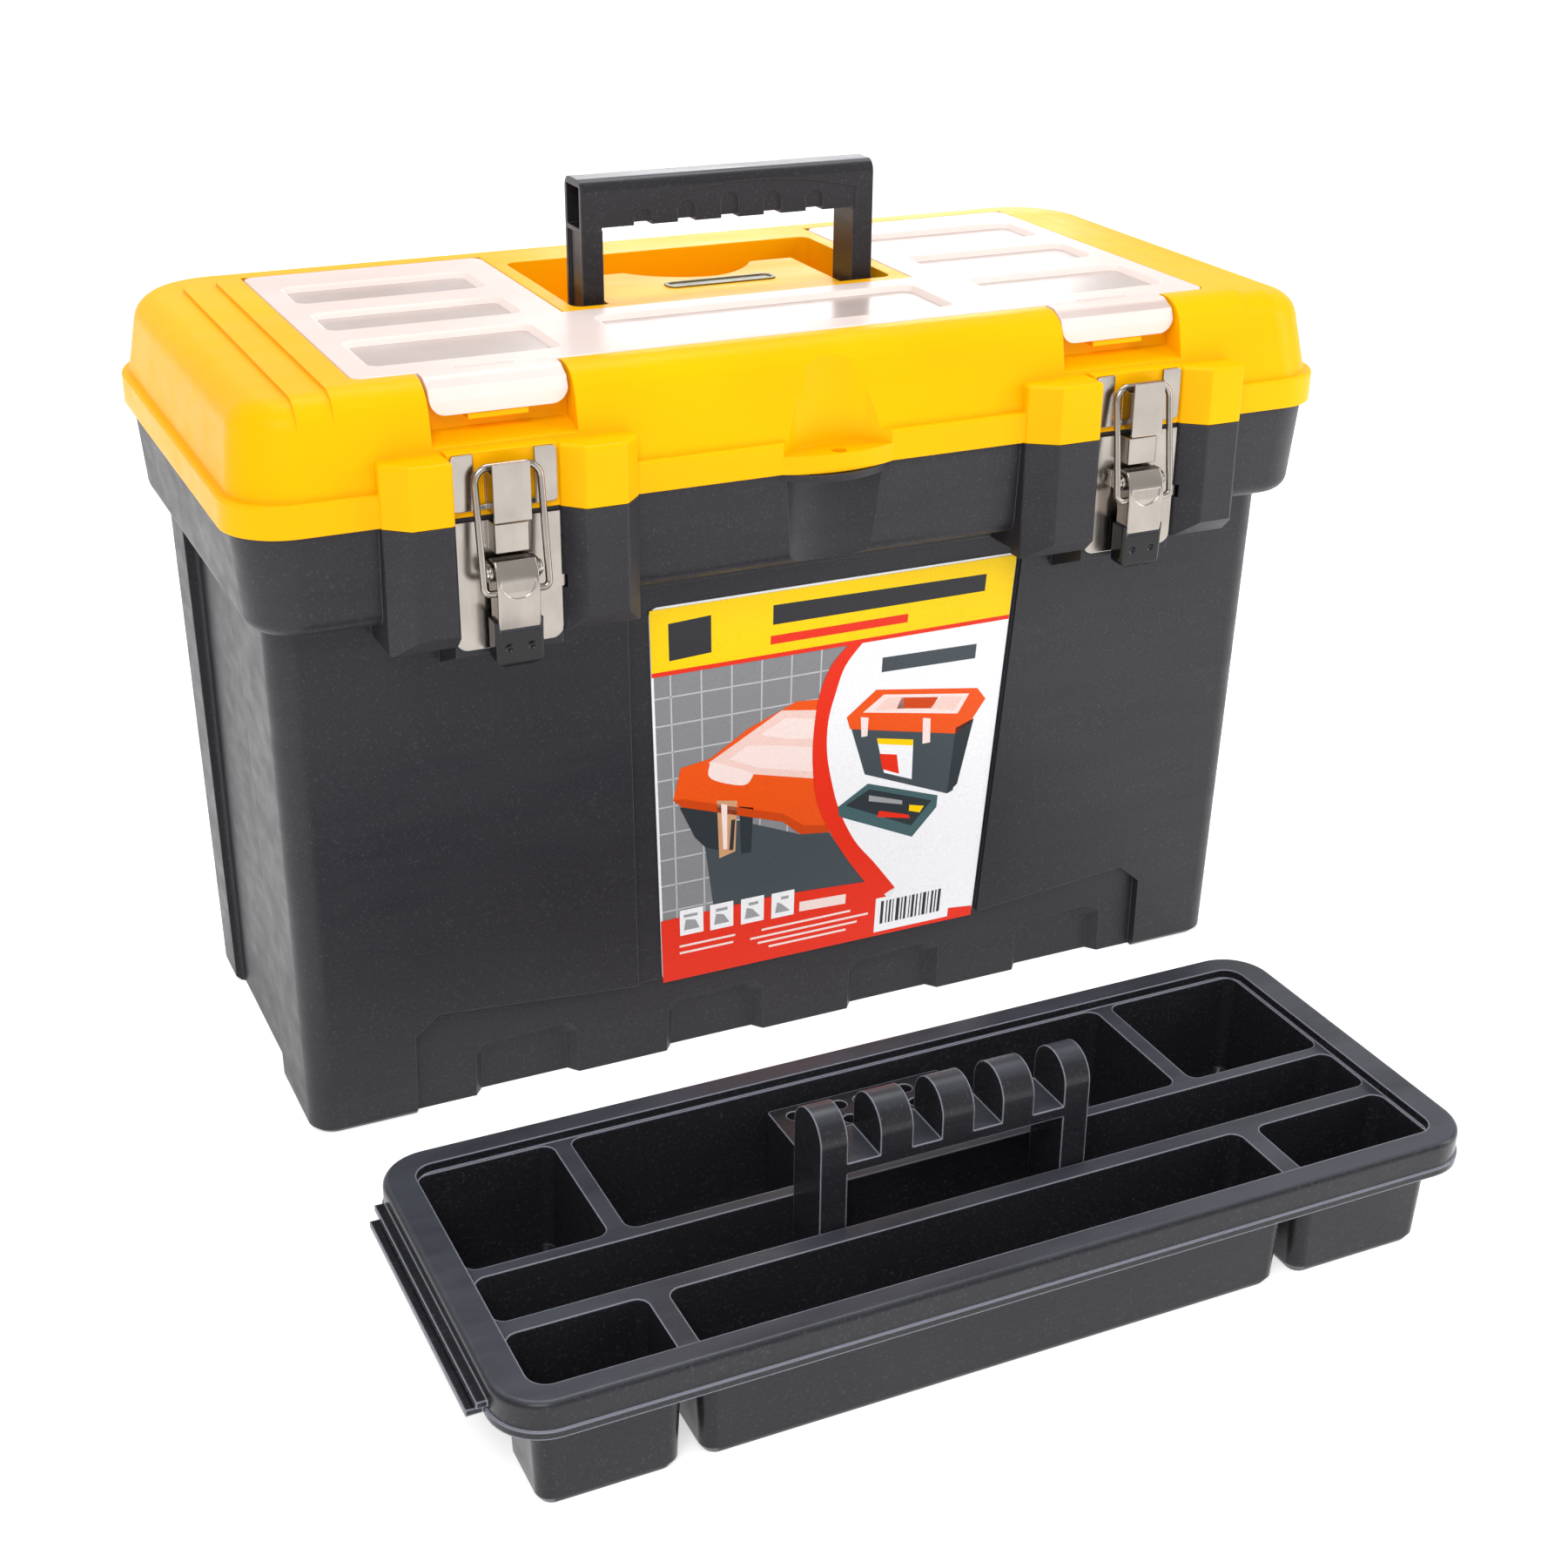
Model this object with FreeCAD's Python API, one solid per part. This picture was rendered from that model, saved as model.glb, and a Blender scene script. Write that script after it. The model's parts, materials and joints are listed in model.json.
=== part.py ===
import FreeCAD, Part
import math
import os

# Hard-plastic toolbox with an organizer lid, a fold-down carry handle, two wire-bail latches
# and a lift-out tray that stands on the floor in front of it.
# Millimetres. +Z is up, -Y is the front with the latches, X runs along the length.
# The origin is the centre of the box's underside.

V = FreeCAD.Vector

# Overall
RIM_X = 245.0             # half length over the lid's rim band
RIM_Y = 124.0             # half depth over the lid's rim band
PARTING_Z = 280.0         # where lid meets base
LID_TOP_Z = 330.0
WALL = 2.8

# Corner radii seen from above, at the front and at the rear
RIM_R = (25.0, 42.0)
COLLAR_R = (23.0, 40.0)
BODY_R = (12.0, 18.0)

# Base
FOOT_X, FOOT_Y = 228.5, 93.0      # body outline at the floor
BODY_X, BODY_Y = 231.0, 100.0     # body outline under the collar
COLLAR_Z = 238.0
COLLAR_LOW = (238.5, 118.5)
COLLAR_TOP = (241.5, 121.5)
BASE_TOP_Z = PARTING_Z - 0.3
BODY_TAPER = (BODY_Y - FOOT_Y) / COLLAR_Z
FLOOR = 4.0
BODY_WALL = 2.5
SIDE_PANEL = (-42.0, 58.0, 5.0)   # from y, to y, depth of the end-wall panel
LEDGE_X, LEDGE_Z = 196.0, 225.0   # the stowed tray's end lips rest here

# Blocks that guard the latches, in pairs either side of each latch: from x, to x, and the
# widths of the bevels on their left and right flanks
LATCH_X = 141.3
BLOCKS = ((-190.0, -163.3, 9.5, 0), (-119.3, -87.0, 8.0, 7.5),
          (87.0, 119.3, 12.0, 0), (163.3, 190.0, 10.0, 0))
BLOCK_Y = -133.0
BLOCK_BEVEL = 8.0                 # how far back the bevels reach
LID_BLOCK_TOP = 304.5
BASE_BLOCK_LOW = 229.0

# Padlock lugs on lid and base, in a scoop down the middle of the front
SCOOP_R, SCOOP_Y = 33.3, -113.3   # radius, and the scoop's deepest point
EYE_R, EYE_Y = 3.2, -124.3
LID_LUG = (34.0, -129.4)          # half width at LUG_REAR, front
BASE_LUG = (27.4, -131.5)
LUG_REAR = -119.0
LUG_TOP_Z, LUG_LOW_Z = 287.5, 276.9

# Lid
BAND_TOP_Z = 293.0
DOME_LOW, DOME_TOP = (242.5, 121.5), (236.0, 113.0)   # dome above the band, and at the lid's top
SHOULDER_R = 13.0
TERRACE_1 = (216.0, 88.0, 1.5)    # half length, rear edge, step below the top
TERRACE_2 = (202.0, 85.0)
LID_UNDER_Z = 288.5
BIN_FLOOR_Z = 291.0
BIN_TOP_Z = 327.0

# Organizer cover
COVER_X, COVER_FRONT, COVER_REAR = 190.0, -98.0, 81.0
COVER_Z0, COVER_Z1 = 327.3, 330.3
COVER_INNER_X, COVER_INNER_Y = 82.0, -30.0
COVER_GAP = 0.5
COVER_AXIS_Y, COVER_AXIS_Z = 78.0, 326.6
COVER_PIN_R = 2.0
TAB_SPAN = (110.0, 165.0)
TAB_WALL_Y = -104.5       # the lid's wall behind the tabs
TAB_Y, TAB_Z = -112.0, 316.5
PANE_DEPTH = 2.2

# Carry handle, shown upright; it folds back round the island in the lid's recess
HANDLE_X = 68.0
HANDLE_Y0, HANDLE_Y1 = -16.5, 2.5
HANDLE_TOP_Z, GRIP_UNDER_Z = 380.0, 360.0
LEG_W = 9.5
PIVOT_Y, PIVOT_Z = -7.0, 309.0
PIVOT_R = 2.5
PIVOT_FIT = 0.05
RECESS_X, RECESS_Y0, RECESS_Y1, RECESS_Z = 75.0, -24.0, 66.0, 296.0
ISLAND_X, ISLAND_Z = 55.0, 327.0

# Rear hinge
HINGE_Y, HINGE_Z = 123.6, 281.5
HINGE_R, HINGE_PIN_R = 4.0, 1.6
HINGE_X = 135.0
HINGE_HALF, HINGE_MID = 26.0, 13.0

# Latch
PLATE_Y = -124.4          # front face of the base plate
PLATE_T = 1.2
PLATE_HALF = 22.0
PLATE_Z0, PLATE_Z1 = 226.0, 278.0
LEVER_Y, LEVER_Z = -130.8, 259.0
LEVER_HALF = 8.6
BAIL_DY, BAIL_DZ = -4.2, -7.0     # bail end seen from the lever's pivot
BAIL_R = 1.4
BAIL_HALF = 13.1
BAIL_TOP_Y, BAIL_TOP_Z = -128.2, 299.8
LIP_Y = -133.0            # inner face of the keeper's lip

# Tray, in its own frame: centre of its footprint, on the floor
TRAY_AT = (-29.0, -275.5)
TRAY_X, TRAY_Y, TRAY_H = 201.0, 80.0, 54.0
TRAY_WALL = 1.8
SKIRT_Z = 40.0
DIVIDER_Z = 50.0
BACK_ROW, CHANNEL, FRONT_ROW = (4.0, 68.0), (-28.0, -1.0), (-69.0, -35.0)
BACK_CELLS = ((-187.0, -132.0), (-125.0, 116.0), (123.0, 187.0))
FRONT_CELLS = ((-187.0, -134.0), (-126.0, 118.0), (126.0, 187.0))
CHANNEL_FLOOR = 12.0
BIT_BLOCK = (-42.0, 36.0, 44.0)   # from x, to x, top z
THANDLE_X, THANDLE_HALF, THANDLE_LEG = -4.0, 57.0, 11.0
THANDLE_BLOCK = 13.5
THANDLE_Z0, THANDLE_Z1 = 72.0, 96.0


def box(x0, x1, y0, y1, z0, z1):
    return Part.makeBox(x1 - x0, y1 - y0, z1 - z0, V(x0, y0, z0))


def rounded_wire(x0, x1, y0, y1, z, r, rear=None):
    """A rectangle with round corners, level at height z; its rear corners may be rounder."""
    q = rear or r
    k, m = r * (1 - math.sqrt(0.5)), q * (1 - math.sqrt(0.5))
    corners = (
        ((x1 - r, y0), (x1 - k, y0 + k), (x1, y0 + r)),
        ((x1, y1 - q), (x1 - m, y1 - m), (x1 - q, y1)),
        ((x0 + q, y1), (x0 + m, y1 - m), (x0, y1 - q)),
        ((x0, y0 + r), (x0 + k, y0 + k), (x0 + r, y0)),
    )
    edges = []
    last = corners[-1][2]
    for start, middle, end in corners:
        edges.append(Part.makeLine(V(*last, z), V(*start, z)))
        edges.append(Part.Arc(V(*start, z), V(*middle, z), V(*end, z)).toShape())
        last = end
    return Part.Wire(edges)


def rounded(x0, x1, y0, y1, z0, z1, r, rear=None):
    face = Part.Face(rounded_wire(x0, x1, y0, y1, z0, r, rear))
    return face.extrude(V(0, 0, z1 - z0))


def tub(sections):
    """A tapering block through (x0, x1, y0, y1, z, radii) sections, bottom to top."""
    return Part.makeLoft([rounded_wire(*s) for s in sections], True, True)


def centred_tub(*sections):
    """The same for sections (half x, half y, z, radii) about the origin."""
    return tub([(-x, x, -y, y, z, *radii) for x, y, z, *radii in sections])


def smaller(radii, by):
    return [r - by for r in radii]


def prism(points, push):
    """A flat polygon pushed along a vector."""
    wire = Part.makePolygon([V(*p) for p in points] + [V(*points[0])])
    return Part.Face(wire).extrude(V(*push))


def profile_x(points, x0, x1):
    """A (y, z) polygon extruded from x0 to x1."""
    return prism([(x0, y, z) for y, z in points], (x1 - x0, 0, 0))


def profile_y(points, y0, y1):
    """An (x, z) polygon extruded from y0 to y1."""
    return prism([(x, y0, z) for x, z in points], (0, y1 - y0, 0))


def rod_x(x0, x1, y, z, r):
    return Part.makeCylinder(r, x1 - x0, V(x0, y, z), V(1, 0, 0))


def fuse(first, *others):
    return first.fuse(list(others)).removeSplitter()


def cut(first, *others):
    return first.cut(list(others))


def edges_at(shape, test):
    return [e for e in shape.Edges if test(e.BoundBox)]


def fillet(shape, r, test):
    return shape.makeFillet(r, edges_at(shape, test))


def mirror_x(shape):
    return shape.mirror(V(0, 0, 0), V(1, 0, 0))


def both_ends(shape):
    return [shape, mirror_x(shape)]


def vertical(b):
    return b.ZLength > 1 and b.XLength < 0.01 and b.YLength < 0.01


def guard_block(x0, x1, left, right, z0, z1, y_wall):
    """One latch guard, standing out of the front wall; left and right are its bevels' widths."""
    knee = BLOCK_Y + BLOCK_BEVEL
    plan = [(x0, y_wall), *([(x0, knee)] if left else []), (x0 + left, BLOCK_Y),
            (x1 - right, BLOCK_Y), *([(x1, knee)] if right else []), (x1, y_wall)]
    block = prism([(x, y, z0) for x, y in plan], (0, 0, z1 - z0))
    return fillet(block, 2.0, lambda e: vertical(e) and e.YMax < y_wall - 1)


def body_front(z):
    """Where the body's sloping front wall is at height z."""
    return -(FOOT_Y + BODY_TAPER * z)


def front_panel(points, depth):
    """A cut of even depth into the sloping front wall, outlined by (x, z) points."""
    start = [(x, body_front(z) + depth, z) for x, z in points]
    return prism(start, (0, -20, 0))


def front_notch(points, depth, flare):
    """The same with sides that lean outward, by flare for each millimetre of depth."""
    reach = 4.0
    wires = []
    for outline, inward in ((points, depth), (grown(points, flare * (depth + reach)), -reach)):
        corners = [V(x, body_front(z) + inward, z) for x, z in outline]
        wires.append(Part.makePolygon([*corners, corners[0]]))
    return Part.makeLoft(wires, True, True)


LABEL_OUTLINE = [(-67.0, 39.0), (91.0, 39.0), (102.5, 221.0), (-73.0, 221.0)]
PANEL_OUTLINE = [(-79.0, 37.0), (93.0, 37.0), (105.0, 231.0), (-83.0, 231.0)]
# Recessed band along the foot, and the arches in it that leave five feet
BAND_OUTLINE = [(-183.0, -5.0), (-182.0, 40.0), (-171.0, 49.0), (-79.0, 41.0), (93.0, 41.0),
                (173.0, 48.0), (184.0, 38.0), (185.0, -5.0)]
NOTCH_OUTLINE = [(4.0, -5.0), (5.0, 18.0), (9.0, 22.0), (40.0, 23.0), (44.0, 19.0), (45.0, -5.0)]
NOTCH_LEFT_X = (-155.0, -64.0, 28.0, 118.0)
PANEL_DEPTH, BAND_DEPTH, NOTCH_DEPTH, NOTCH_FLARE = 2.2, 5.0, 10.0, 0.8
FOOT_EASE = 2.5           # bevel round the underside


def grown(points, by):
    """An outline's points, moved outward from its middle."""
    mid_x = sum(x for x, _ in points) / len(points)
    mid_z = sum(z for _, z in points) / len(points)
    return [(x + math.copysign(by, x - mid_x), z + math.copysign(by, z - mid_z)) for x, z in points]


def flip_y(shape):
    return shape.mirror(V(0, 0, 0), V(0, 1, 0))


def hollow_block(x0, x1, left, right, z0, z1, y_wall):
    """The hollow inside a latch guard, which keeps an even wall."""
    hollow = guard_block(x0 + WALL, x1 - WALL, left, right, z0, z1, y_wall)
    hollow.translate(V(0, WALL, 0))
    return hollow


def base_shell():
    body = centred_tub((*smaller((FOOT_X, FOOT_Y), FOOT_EASE), 0, *smaller(BODY_R, 3)),
                       (FOOT_X, FOOT_Y, FOOT_EASE, *smaller(BODY_R, 1)),
                       (BODY_X, BODY_Y, COLLAR_Z + 1, *BODY_R))
    collar = centred_tub((*COLLAR_LOW, COLLAR_Z, *smaller(COLLAR_R, 2)),
                         (*COLLAR_TOP, BASE_TOP_Z, *COLLAR_R))
    collar = fillet(collar, 7, lambda e: e.ZMax < COLLAR_Z + 0.01)
    pad_side = [(PLATE_Y + PLATE_T, BASE_TOP_Z), (PLATE_Y + PLATE_T, PLATE_Z0 - 3), (-100, PLATE_Z0 - 13),
                (-96, PLATE_Z0 - 13), (-96, BASE_TOP_Z)]
    pads = [profile_x(pad_side, s * LATCH_X - PLATE_HALF, s * LATCH_X + PLATE_HALF) for s in (-1, 1)]
    blocks = [guard_block(*block, BASE_BLOCK_LOW, BASE_TOP_Z, -98) for block in BLOCKS]
    toe = profile_x([(BLOCK_Y - 1, BASE_BLOCK_LOW - 1), (BLOCK_Y - 1, BASE_BLOCK_LOW + 8),
                     (BLOCK_Y + 8, BASE_BLOCK_LOW - 1)], -200, 200)
    blocks = [cut(b, toe) for b in blocks]
    shell = fuse(body, collar, *pads, *blocks, padlock_lug(*BASE_LUG, LUG_LOW_Z, BASE_TOP_Z))

    y0, y1, depth = SIDE_PANEL
    side = tub([(-FOOT_X - 20, -FOOT_X - 1 + depth, y0 + 3, y1 - 3, -1, 2),
                (-BODY_X - 20, -BODY_X + 1 + depth, y0, y1, COLLAR_Z - 0.01, 2)])
    panel = front_panel(PANEL_OUTLINE, PANEL_DEPTH)
    band = front_panel(BAND_OUTLINE, BAND_DEPTH)
    arches = [[(left + x, z) for x, z in NOTCH_OUTLINE] for left in NOTCH_LEFT_X]
    notches = [front_notch(arch, NOTCH_DEPTH, NOTCH_FLARE) for arch in arches]
    outside_cuts = [panel, band, flip_y(band), *both_ends(side), *notches, *[flip_y(n) for n in notches]]

    foot_in, body_in = smaller((FOOT_X, FOOT_Y), BODY_WALL), smaller((BODY_X, BODY_Y), BODY_WALL)
    inside = centred_tub((*foot_in, FLOOR, *smaller(BODY_R, BODY_WALL + 1)),
                         (*body_in, COLLAR_Z + 3.01, *smaller(BODY_R, BODY_WALL)))
    # the wall keeps its thickness behind each panel, band and notch
    behind_end = box(BODY_X - 1 - depth - BODY_WALL, 300, y0 - BODY_WALL, y1 + BODY_WALL, -1, 300)
    behind_front = [front_panel(grown(outline, BODY_WALL), cut_depth + BODY_WALL)
                    for outline, cut_depth in ((PANEL_OUTLINE, PANEL_DEPTH), (BAND_OUTLINE, BAND_DEPTH))]
    behind_notch = [front_panel(grown(arch, 2 * BODY_WALL), NOTCH_DEPTH + BODY_WALL) for arch in arches]
    behind_back = [flip_y(b) for b in [behind_front[1], *behind_notch]]
    # shelf at each end for the stowed tray, on three gussets
    shelf = box(LEDGE_X, BODY_X, -60, 60, LEDGE_Z - 3, LEDGE_Z)
    gussets = [profile_y([(BODY_X, LEDGE_Z - 3), (LEDGE_X, LEDGE_Z - 3), (BODY_X, LEDGE_Z - 25)], y, y + 3)
               for y in (-60, -1.5, 57)]
    inside = cut(inside, *both_ends(behind_end), *behind_front, *behind_notch, *behind_back,
                 *both_ends(fuse(shelf, *gussets)))
    upper = centred_tub((*smaller(COLLAR_LOW, WALL), COLLAR_Z + 3, *smaller(COLLAR_R, WALL + 2)),
                        (*smaller(COLLAR_TOP, WALL), BASE_TOP_Z + 1, *smaller(COLLAR_R, WALL)))
    upper = cut(upper, scoop(WALL, COLLAR_Z, BASE_TOP_Z + 2))
    hollow_z = (COLLAR_Z + 3.5, BASE_TOP_Z - WALL)
    hollows = [hollow_block(*block, *hollow_z, -112) for block in BLOCKS]
    hollows.append(scoop(0, COLLAR_Z - 1, LUG_LOW_Z))
    hollows += both_ends(box(LATCH_X - PLATE_HALF + WALL, LATCH_X + PLATE_HALF - WALL,
                             PLATE_Y + PLATE_T + WALL, -112, *hollow_z))
    shell = cut(shell, inside, upper, *hollows, *outside_cuts)

    # tongue that the closed lid drops over, on the front and the ends
    tongue_z = (BASE_TOP_Z - 4, BASE_TOP_Z + 4)
    tongue = cut(rounded(-239.2, 239.2, -119.2, 119.2, *tongue_z, *smaller(COLLAR_R, 2.3)),
                 rounded(-237.4, 237.4, -117.4, 117.4, BASE_TOP_Z - 5, BASE_TOP_Z + 5,
                         *smaller(COLLAR_R, 4.1)),
                 box(-250, 250, 80, 130, 200, 300), box(-30, 30, -130, -100, BASE_TOP_Z, 300))
    shell = fuse(shell, tongue)

    hinge = []
    relief = []
    for s in (-1, 1):
        x0, x1 = s * HINGE_X - HINGE_MID, s * HINGE_X + HINGE_MID
        web = profile_x([(118, 266), (121, 266), (HINGE_Y + HINGE_R, 279), (HINGE_Y + HINGE_R, HINGE_Z),
                         (118, HINGE_Z)], x0, x1)
        hinge.append(fuse(web, rod_x(x0, x1, HINGE_Y, HINGE_Z, HINGE_R)))
        for a, b in ((x1, s * HINGE_X + HINGE_HALF), (s * HINGE_X - HINGE_HALF, x0)):
            relief.append(rod_x(a - 0.4, b + 0.4, HINGE_Y, HINGE_Z, HINGE_R + 0.4))
    shell = fuse(cut(shell, *relief), *hinge)
    bores = [rod_x(s * HINGE_X - HINGE_MID - 1, s * HINGE_X + HINGE_MID + 1, HINGE_Y, HINGE_Z, HINGE_PIN_R)
             for s in (-1, 1)]
    ear_x = (LATCH_X - PLATE_HALF - 3.2, LATCH_X + PLATE_HALF + 3.2)
    ears = both_ends(box(*ear_x, PLATE_Y - 2, PLATE_Y + PLATE_T, 246.6, 252.4))
    return cut(shell, *bores, *ears, padlock_eye())


def padlock_lug(half, front, z0, z1):
    """Lens-shaped lug at the middle of the front, for a padlock through lid and base."""
    left, right = V(-half, LUG_REAR, z0), V(half, LUG_REAR, z0)
    arc = Part.Arc(left, V(0, front, z0), right).toShape()
    face = Part.Face(Part.Wire([arc, Part.makeLine(right, left)]))
    return face.extrude(V(0, 0, z1 - z0))


def padlock_eye():
    return Part.makeCylinder(EYE_R, 40, V(0, EYE_Y, LUG_LOW_Z - 10))


def scoop(grow, z0, z1):
    """The scoop down the middle of the front, round the lugs; grow adds the wall behind it."""
    return Part.makeCylinder(SCOOP_R + grow, z1 - z0, V(0, SCOOP_Y - SCOOP_R, z0))


def label_sticker():
    t = 0.5
    start = [(x, body_front(z) + PANEL_DEPTH, z) for x, z in LABEL_OUTLINE]
    sticker = prism(start, (0, -t, 0))
    return fillet(sticker, 4, lambda e: e.XLength < 0.01 and e.ZLength < 0.05 and e.YLength > 0.4)


def lid_dome(top):
    """The lid's outer form above the rim band, to a given top height, with a rounded shoulder.

    The walls lean the same at every height, so that domes of different heights lie flush.
    """
    low = BAND_TOP_Z - 4
    share = (top - low) / (LID_TOP_Z - low)
    half_x, half_y = (a + (b - a) * share for a, b in zip(DOME_LOW, DOME_TOP))
    dome = centred_tub((*DOME_LOW, low, *smaller(RIM_R, 2)),
                       (half_x, half_y, top, *smaller(RIM_R, 2 + share)))
    return fillet(dome, SHOULDER_R, lambda e: e.ZMin > top - 0.01)


def island():
    """The raised middle of the handle recess; its rear edge dips so that fingers reach the grip."""
    rear = [(-ISLAND_X, 39.5), (-28, 39.5), (-16, 27), (12, 20), (24, 27), (34, 39.5), (ISLAND_X, 39.5)]
    curve = Part.BSplineCurve()
    curve.interpolate([V(x, y, 0) for x, y in rear[1:-1]], False)
    edges = [Part.makeLine(V(ISLAND_X, RECESS_Y0 - 1, 0), V(ISLAND_X, 39.5, 0)),
             Part.makeLine(V(ISLAND_X, 39.5, 0), V(34, 39.5, 0)),
             curve.toShape(),
             Part.makeLine(V(-28, 39.5, 0), V(-ISLAND_X, 39.5, 0)),
             Part.makeLine(V(-ISLAND_X, 39.5, 0), V(-ISLAND_X, RECESS_Y0 - 1, 0)),
             Part.makeLine(V(-ISLAND_X, RECESS_Y0 - 1, 0), V(ISLAND_X, RECESS_Y0 - 1, 0))]
    wire = Part.Wire(Part.__sortEdges__(edges))
    block = Part.Face(wire).extrude(V(0, 0, ISLAND_Z - LID_UNDER_Z))
    block.translate(V(0, 0, LID_UNDER_Z))
    return block


BADGE = (-20.0, 32.0, 3.5, 14.0)    # x0, x1, y0, y1
BINS = ((-184.0, -86.0, 22.0, 70.0), (-184.0, -86.0, -28.0, 18.0), (-184.0, -86.0, -92.0, -32.0))
MIDDLE_BIN = (-82.0, 82.0, -92.0, -34.0)


def cover_outline(grow, z0, z1):
    """The cover's U shape, front bar and two wings, grown all round by a gap."""
    g = grow
    wing = rounded(COVER_INNER_X - g, COVER_X + g, COVER_FRONT - g, COVER_REAR + g, z0, z1, 5)
    bar = box(-COVER_INNER_X - 12, COVER_INNER_X + 12, COVER_FRONT - g, COVER_INNER_Y + g, z0, z1)
    return fuse(bar, *both_ends(wing))


def lid_shell():
    band = rounded(-RIM_X, RIM_X, -RIM_Y, RIM_Y, PARTING_Z, BAND_TOP_Z, *RIM_R)
    band = fillet(band, 1.5, lambda e: e.ZMin > BAND_TOP_Z - 0.01)
    x1, rear1, step = TERRACE_1
    x2, rear2 = TERRACE_2
    terrace1 = lid_dome(LID_TOP_Z - step).common(rounded(-x1, x1, -140, rear1, 300, 340, 10))
    terrace2 = lid_dome(LID_TOP_Z).common(rounded(-x2, x2, -140, rear2, 300, 340, 8))
    blocks = [guard_block(*block, PARTING_Z, LID_BLOCK_TOP, -112) for block in BLOCKS]
    blocks = [fillet(b, 1.6, lambda e: e.ZMin > LID_BLOCK_TOP - 0.01 and e.YMax < BLOCK_Y + 0.5)
              for b in blocks]
    pad_x = (LATCH_X - PLATE_HALF, LATCH_X + PLATE_HALF)
    keeper_pads = both_ends(box(*pad_x, -RIM_Y, -110, PARTING_Z, LID_BLOCK_TOP + 0.5))
    lid = fuse(band, lid_dome(LID_TOP_Z - 2 * step), terrace1, terrace2, *blocks, *keeper_pads,
               padlock_lug(*LID_LUG, PARTING_Z, LUG_TOP_Z))

    pad_recess = both_ends(box(*pad_x, -140, -RIM_Y, 270, 340))
    tab_x = (TAB_SPAN[0] - 1.5, TAB_SPAN[1] + 1.5)
    # a shelf slopes down from under each tab to the top of the keeper
    tab_side = [(-140, LID_BLOCK_TOP), (-RIM_Y - 1, LID_BLOCK_TOP), (TAB_WALL_Y, LID_BLOCK_TOP + 5),
                (TAB_WALL_Y, 340), (-140, 340)]
    tab_recess = both_ends(profile_x(tab_side, *tab_x))
    tab_recess += both_ends(box(*tab_x, -140, COVER_FRONT, COVER_Z0 - 3.8, 340))
    behind_scoop = scoop(WALL, PARTING_Z - 2, LID_TOP_Z)
    under = rounded(-240.0, 240.0, -120.0, 121.0, PARTING_Z - 1, LID_UNDER_Z, *smaller(COLLAR_R, 1.5))
    under = cut(under, behind_scoop)
    end_pockets = both_ends(tub([(188, 236, -108, 110, LID_UNDER_Z - 1, 8, 20),
                                 (188, 231, -102, 102, 322, 8, 20)]))
    rear_pocket = tub([(-184, 184, 73.5, 118, LID_UNDER_Z - 1, 5), (-184, 184, 73.5, 106, 318, 5)])
    front_pocket = tub([(-84, 84, -115, -95, LID_UNDER_Z - 1, 4), (-84, 84, -108, -95, 317, 4)])
    front_pocket = cut(front_pocket, behind_scoop)
    block_z = (PARTING_Z - 1, LID_BLOCK_TOP - WALL)
    block_pockets = [hollow_block(*block, *block_z, BINS[2][2] - WALL) for block in BLOCKS]
    latch_pockets = both_ends(box(LATCH_X - PLATE_HALF + 1, LATCH_X + PLATE_HALF - 1,
                                  -RIM_Y + WALL, BINS[2][2] - WALL, *block_z))
    bins = [rounded(*b, BIN_FLOOR_Z, LID_TOP_Z + 1, 6) for b in BINS]
    bins += [mirror_x(b) for b in bins]
    bins.append(rounded(*MIDDLE_BIN, BIN_FLOOR_Z, LID_TOP_Z + 1, 6))
    seat = cover_outline(COVER_GAP, BIN_TOP_Z, LID_TOP_Z + 2)
    cover_axis = (COVER_AXIS_Y, COVER_AXIS_Z)
    grooves = both_ends(rod_x(COVER_INNER_X - COVER_GAP, COVER_X + COVER_GAP, *cover_axis, 5.2))
    pivots = both_ends(rod_x(COVER_INNER_X - 4, COVER_X + 5, *cover_axis, COVER_PIN_R + PIVOT_FIT))
    recess = cut(rounded(-RECESS_X, RECESS_X, RECESS_Y0, RECESS_Y1, RECESS_Z, LID_TOP_Z + 1, 5), island())
    pin_bores = both_ends(rod_x(ISLAND_X - 5, RECESS_X + 5, PIVOT_Y, PIVOT_Z, PIVOT_R))
    badge_seat = rounded(*BADGE, ISLAND_Z - 1.2, ISLAND_Z + 5, 4)
    island_core = rounded(-ISLAND_X + 9, ISLAND_X - 9, -16, 14, LID_UNDER_Z - 1, ISLAND_Z - 4, 4)
    under_recess = rounded(-RECESS_X + 8, RECESS_X - 8, RECESS_Y0 + 3, RECESS_Y1,
                           LID_UNDER_Z - 1, RECESS_Z - WALL, 4)
    pockets = [under, *end_pockets, rear_pocket, front_pocket, *block_pockets, *latch_pockets, under_recess,
               island_core]
    lid = cut(lid, *pad_recess, *tab_recess, *pockets, *bins, seat, *grooves, *pivots, recess, *pin_bores,
              badge_seat, scoop(0, LUG_TOP_Z, LID_TOP_Z + 1))

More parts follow.
